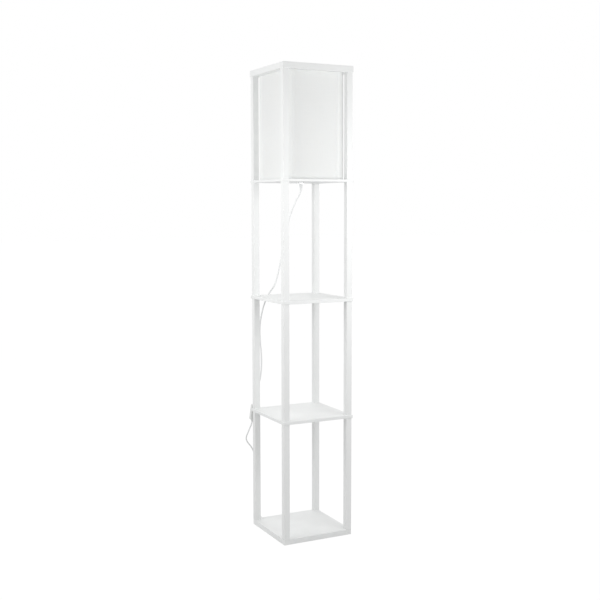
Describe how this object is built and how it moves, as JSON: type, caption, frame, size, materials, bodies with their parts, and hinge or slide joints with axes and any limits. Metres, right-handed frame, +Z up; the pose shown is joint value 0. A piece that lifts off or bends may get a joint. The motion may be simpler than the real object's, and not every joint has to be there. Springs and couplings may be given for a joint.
{
  "type": "shelf floor lamp",
  "caption": "Tall slim square tower of white posts with open shelves below and a square fabric shade between the posts at the top, with a hanging mains cord.",
  "frame": {"origin": "middle of the footprint of the tower, on the floor", "axes": "+Z up, -Y towards the front, +X to the right"},
  "size_m": [0.3163, 0.3373, 1.59],
  "materials": {
    "white_paint": "satin white paint",
    "shade_fabric": "plain weave over a clear lining",
    "white_wire": "satin white enamel",
    "steel": "zinc plated",
    "brass": "bright",
    "holder_plastic": "smooth",
    "relief_plastic": "smooth",
    "bulb_glass": "frosted",
    "bulb_cap": "bright",
    "bulb_insulator": "gloss",
    "cord": "satin",
    "switch_plastic": "gloss",
    "blades": "bright",
    "pads": "matt",
    "tie": "satin"
  },
  "bodies": {
    "frame": {"base_plate": "white_paint", "base_screws": "steel", "cord_end": "cord", "cord_hank": "cord", "cord_lower": "cord", "cord_upper": "cord", "foot_pads": "pads", "hank_tie": "tie", "lampholder_cap": "holder_plastic", "lampholder_shell": "holder_plastic", "lower_post_back_left": "white_paint", "lower_post_back_right": "white_paint", "lower_post_front_left": "white_paint", "lower_post_front_right": "white_paint", "lower_shelf": "white_paint", "lower_shelf_studs": "steel", "middle_post_back_left": "white_paint", "middle_post_back_right": "white_paint", "middle_post_front_left": "white_paint", "middle_post_front_right": "white_paint", "middle_shelf": "white_paint", "middle_shelf_studs": "steel", "nipple_nut": "steel", "nipple_washer": "steel", "plug_blades": "blades", "plug_body": "cord", "rail_dowels": "white_paint", "shade_carrier": "white_wire", "shade_floor": "white_paint", "shade_floor_studs": "steel", "shade_panel_back": "shade_fabric", "shade_panel_front": "shade_fabric", "shade_panel_left": "shade_fabric", "shade_panel_right": "shade_fabric", "shade_post_back_left": "white_paint", "shade_post_back_right": "white_paint", "shade_post_front_left": "white_paint", "shade_post_front_right": "white_paint", "shade_ring_nut": "holder_plastic", "shade_top_ring": "white_wire", "socket_contact": "brass", "socket_screw_shell": "brass", "strain_relief": "relief_plastic", "switch_base": "switch_plastic", "switch_cover": "switch_plastic", "switch_screws": "steel", "threaded_nipple": "steel", "top_rail_back": "white_paint", "top_rail_front": "white_paint", "top_rail_left": "white_paint", "top_rail_right": "white_paint", "top_screws": "steel", "upper_post_back_left": "white_paint", "upper_post_back_right": "white_paint", "upper_post_front_left": "white_paint", "upper_post_front_right": "white_paint"},
    "bulb": {"bulb_glass": "bulb_glass", "bulb_cap": "bulb_cap", "bulb_tip": "bulb_insulator"},
    "rocker": {"switch_rocker": "switch_plastic"}
  },
  "joints": [
    {"name": "bulb_lift", "type": "slide", "parent": "frame", "child": "bulb", "axis": [0, 0, 1], "range_m": [0, 0.36]},
    {"name": "rocker_tilt", "type": "hinge", "parent": "frame", "child": "rocker", "pos_m": [-0.1208, 0.144, 0.4046], "axis": [0.9895, 0, -0.1445], "range_deg": [0, 16]}
  ]
}
